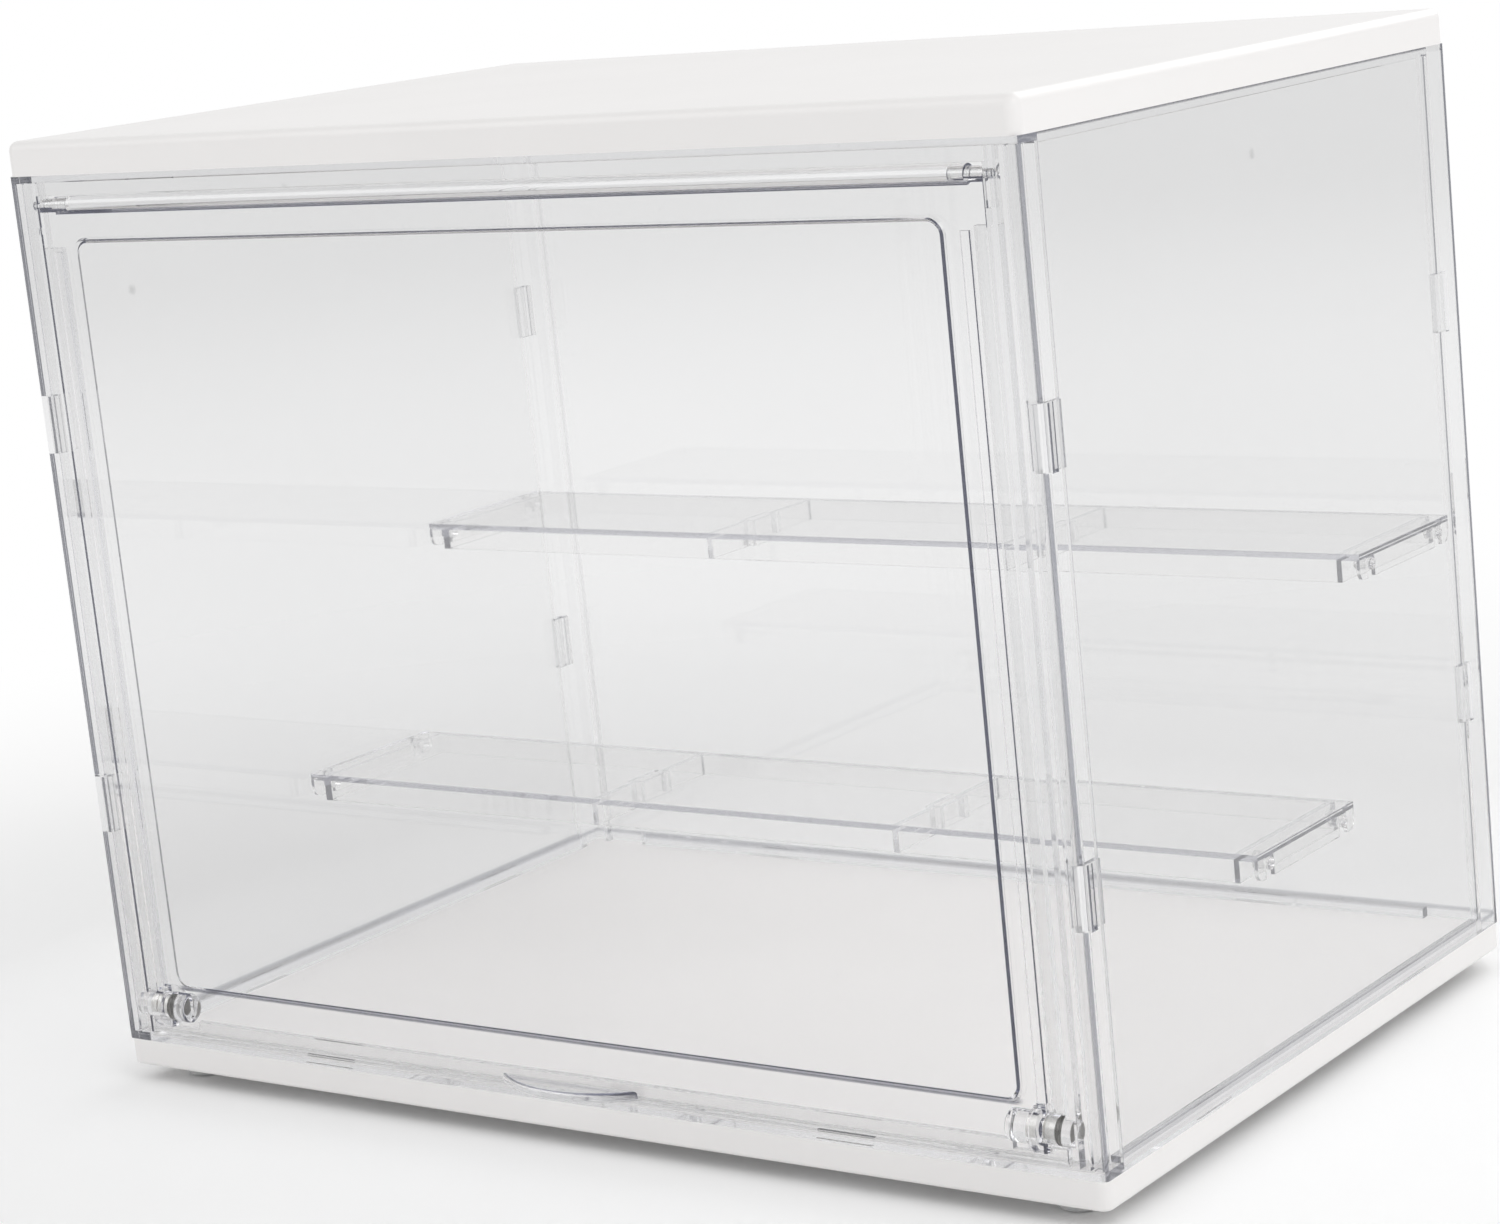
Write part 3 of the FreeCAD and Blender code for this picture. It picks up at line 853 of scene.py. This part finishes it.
@dataclass
class HingedDoor(SubAssembly):
    """Clear door with its clear hinge pins.

    The border's sizes and the fold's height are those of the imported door.
    """

    sheet_tint: Color = (0.95, 0.95, 0.949)
    # Painted shade: light trapped in the door leaks out dimmed by this tint, which draws its dark outline.
    outline_trapped_light_tint: Color = (0.13, 0.135, 0.18)
    gate_depth: float = 9.8 * MILLIMETRE
    gate_side_inset: float = 36.0 * MILLIMETRE
    gate_drop: float = 28.0 * MILLIMETRE
    border_side: float = 12.4 * MILLIMETRE
    border_bottom: float = 15.0 * MILLIMETRE
    fold_height: float = 0.75 * MILLIMETRE
    # Painted shade along the bottom fold: width and tint of a dark line.
    fold_shade_width: float = 0.85 * MILLIMETRE
    fold_shade_tint: Color = (0.22, 0.225, 0.26)

    def build(self) -> None:
        """Dresses the door and its pins."""
        low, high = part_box("door")
        sheet_front = high.y - self.gate_depth
        gate = (low.x + self.gate_side_inset, sheet_front, high.z - self.gate_drop)
        lines = (self.bottom_fold_shade(),)
        finish = ClearPlastic(
            "clear_door", (gate,), self.sheet_tint, trapped_tint=self.outline_trapped_light_tint, shade_lines=lines
        )
        self.dress(("door",), finish, Slot.CLEAR)
        self.dress(("hinge_pin_right", "hinge_pin_left"), ClearPlastic("clear_hinge_pin"), Slot.CLEAR)

    def bottom_fold_shade(self) -> ShadeLine:
        """Paints shade on the fold along the bottom of the raised centre, between its rounded corners.

        Returns:
            The line, in the door's own coordinates.
        """
        low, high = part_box("door")
        reach = high.x - self.border_side
        level = low.z + self.border_bottom + self.fold_height / 2
        return ShadeLine(level, self.fold_shade_width, self.fold_shade_tint, reach)


@dataclass
class LiftOffShelves(SubAssembly):
    """Two clear shelves that rest on pegs."""

    shelves: tuple[str, ...] = ("lower_shelf", "upper_shelf")
    plate_tint: Color = (0.992, 0.99, 0.987)
    # Painted shade: light trapped in the shelves leaks out dimmed by this tint, which darkens their edges.
    edge_trapped_light_tint: Color = (0.42, 0.42, 0.45)

    def build(self) -> None:
        """Dresses both shelves."""
        finish = ClearPlastic("clear_shelf", face_tint=self.plate_tint, trapped_tint=self.edge_trapped_light_tint)
        self.dress(self.shelves, finish, Slot.CLEAR)


@dataclass
class MagnetCatches(SubAssembly):
    """Plated magnets in the door's hubs and the frame's bosses."""

    magnets: tuple[str, ...] = (
        "door_magnet_right",
        "door_magnet_left",
        "frame_magnet_right",
        "frame_magnet_left",
    )

    def build(self) -> None:
        """Dresses the magnets."""
        self.dress(self.magnets, PlatedMetal("plated_magnet"), Slot.MAGNET)


@dataclass(frozen=True)
class Softbox:
    """Soft square lamp: its place and side in metres, and its power in watts."""

    name: str
    place: Triple
    side: float
    power: float

    def hang(self, aim: Triple) -> None:
        """Hangs the lamp so that it faces a point, out of the camera's sight.

        Args:
            aim: The point, in metres.
        """
        light = bpy.data.lights.new(self.name, "AREA")
        light.size = self.side
        light.energy = self.power
        lamp = bpy.data.objects.new(self.name, light)
        place = Vector(self.place)
        turn = (Vector(aim) - place).to_track_quat("-Z", "Y").to_matrix().to_4x4()
        lamp.matrix_world = Matrix.Translation(place) @ turn
        lamp.visible_camera = False
        bpy.context.scene.collection.objects.link(lamp)
        log.info("%s: %.1f W", self.name, self.power)


@dataclass(frozen=True)
class Studio:
    """Pale floor, soft lamps and the world around them.

    The floor takes shadows near the case. Farther out it glows like the backdrop, and to every ray
    but the camera's it grows a little dimmer with distance. Lengths are in metres, and levels of
    light are shares of white.
    """

    floor_half: float = 4.0
    floor_drop: float = 0.4 * MILLIMETRE
    floor_color: Color = (0.985, 0.985, 0.985)
    floor_lift: float = 0.06
    far_range: tuple[float, float] = (0.25, 0.8)
    dusk_range: tuple[float, float] = (1.2, 2.8)
    fill: float = 0.54
    bright: float = 0.89
    dim: float = 0.55
    screen_edge: float = 0.32
    aim: Triple = (0.0, 0.0, 0.15)
    lamps: tuple[Softbox, ...] = (
        Softbox("key_softbox", (1.8, -0.5, 1.5), 1.4, 14.6),
        Softbox("fill_softbox", (-1.3, -1.3, 1.5), 1.4, 8.4),
        Softbox("back_softbox", (0.35, 1.8, 1.5), 1.6, 15.5),
    )

    def build(self) -> None:
        """Makes the floor, the lamps and the world."""
        self.lay_floor()
        for lamp in self.lamps:
            lamp.hang(self.aim)
        self.paint_world()

    def lay_floor(self) -> None:
        """Lays a plain pale floor that keeps the case's shadow."""
        mesh = bpy.data.meshes.new("floor")
        shape = bmesh.new()
        bmesh.ops.create_grid(shape, x_segments=2, y_segments=2, size=self.floor_half)
        shape.to_mesh(mesh)
        shape.free()
        floor = bpy.data.objects.new("floor", mesh)
        floor.location.z = -self.floor_drop
        bpy.context.scene.collection.objects.link(floor)
        mesh.materials.append(self.floor_paint())
        log.info("floor: %.1f m wide", 2 * self.floor_half)

    def floor_paint(self) -> bpy.types.Material:
        """Makes the floor's material.

        Returns:
            Dull pale paint near the case that turns into the bright backdrop farther out.
        """
        paint = bpy.data.materials.new("pale_floor")
        paint.use_nodes = True
        shader = paint.node_tree.nodes["Principled BSDF"]
        shader.inputs["Roughness"].default_value = 1.0
        shader.inputs["Specular IOR Level"].default_value = 0.0
        shader.inputs["Emission Color"].default_value = (*WHITE, 1.0)
        graph = NodeGraph(paint.node_tree)
        away = graph.add("VectorMath", operation="LENGTH")
        graph.feed(away.inputs[0], graph.add("TexCoord").outputs["Object"])
        far = graph.remap(away.outputs["Value"], *self.far_range, 0.0, 1.0)
        graph.feed(shader.inputs["Base Color"], graph.mix_color(far, self.floor_color, BLACK))
        near = graph.math("MULTIPLY", self.seen(graph), self.floor_lift)
        path = graph.add("LightPath")
        dusk = graph.remap(away.outputs["Value"], *self.dusk_range, 1.0, self.bright)
        glow = graph.math("MULTIPLY", far, graph.math("MAXIMUM", dusk, path.outputs["Is Camera Ray"]))
        graph.feed(shader.inputs["Emission Strength"], graph.math("MAXIMUM", near, glow))
        return paint

    @staticmethod
    def seen(graph: NodeGraph) -> bpy.types.NodeSocket:
        """Finds the rays that show the backdrop, straight or by way of gloss or clear plastic.

        Args:
            graph: Nodes of the floor or the world.

        Returns:
            1 for such a ray and 0 for a ray that only gathers light.
        """
        path = graph.add("LightPath")
        mirrored = graph.math("MAXIMUM", path.outputs["Is Glossy Ray"], path.outputs["Is Transmission Ray"])
        return graph.math("MAXIMUM", path.outputs["Is Camera Ray"], mirrored)

    def paint_world(self) -> None:
        """Paints white screens with dimmer gaps between them; the camera sees plain white."""
        world = bpy.data.worlds.new("studio")
        world.use_nodes = True
        world.node_tree.nodes.clear()
        graph = NodeGraph(world.node_tree)
        direction = graph.add("TexCoord")
        parts = graph.add("SeparateXYZ")
        graph.feed(parts.inputs[0], direction.outputs["Generated"])
        product = graph.math("MULTIPLY", parts.outputs["X"], parts.outputs["Y"])
        level = graph.remap(product, -self.screen_edge, self.screen_edge, self.bright, self.dim)
        path = graph.add("LightPath")
        shown = graph.math("MAXIMUM", level, path.outputs["Is Camera Ray"])
        strength = graph.math("MAXIMUM", graph.math("MULTIPLY", shown, self.seen(graph)), self.fill)
        background = graph.add("Background")
        graph.feed(background.inputs["Color"], WHITE)
        graph.feed(background.inputs["Strength"], strength)
        output = graph.add("OutputWorld")
        graph.feed(output.inputs["Surface"], background.outputs[0])
        bpy.context.scene.world = world


@dataclass(frozen=True)
class StudioCamera:
    """Camera that looks down on the front right corner of the case.

    Its place is in metres, its lens and sensor are in millimetres, and its shift is a share of the
    sensor's width.
    """

    place: Triple = (0.6668, -0.8753, 0.3566)
    forward: Triple = (-0.5699, 0.7971, -0.1996)
    right: Triple = (0.8208, 0.5634, -0.0937)
    lens: float = 87.97
    sensor_width: float = 36.0
    shift: tuple[float, float] = (-0.0818, -0.0066)
    nearest: float = 0.01

    def build(self) -> None:
        """Makes the camera and sets it as the scene's own."""
        data = bpy.data.cameras.new("camera")
        data.sensor_width = self.sensor_width
        data.lens = self.lens
        data.shift_x, data.shift_y = self.shift
        data.clip_start = self.nearest
        back = -Vector(self.forward).normalized()
        side = Vector(self.right)
        side = (side - side.dot(back) * back).normalized()
        turn = Matrix((side, back.cross(side), back)).transposed()
        camera = bpy.data.objects.new("camera", data)
        camera.matrix_world = Matrix.Translation(self.place) @ turn.to_4x4()
        bpy.context.scene.collection.objects.link(camera)
        bpy.context.scene.camera = camera


@dataclass(frozen=True)
class Look:
    """Plain view transform, and enough bounces for light to cross the clear walls."""

    all_bounces: int = 40
    transmission_bounces: int = 32
    glossy_bounces: int = 24
    transparent_bounces: int = 40

    def apply(self) -> None:
        """Sets the look on the scene."""
        scene = bpy.context.scene
        scene.view_settings.view_transform = "Standard"
        scene.cycles.max_bounces = self.all_bounces
        scene.cycles.transmission_bounces = self.transmission_bounces
        scene.cycles.glossy_bounces = self.glossy_bounces
        scene.cycles.transparent_max_bounces = self.transparent_bounces


def main() -> None:
    """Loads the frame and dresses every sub-assembly."""
    logging.basicConfig(level=logging.INFO, format="%(name)s: %(message)s")
    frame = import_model()
    Look().apply()
    for assembly in (LidAndBase, ClearWalls, HingedDoor, LiftOffShelves, MagnetCatches):
        assembly(frame).build()
    Studio().build()
    StudioCamera().build()


if __name__ == "__main__":
    main()
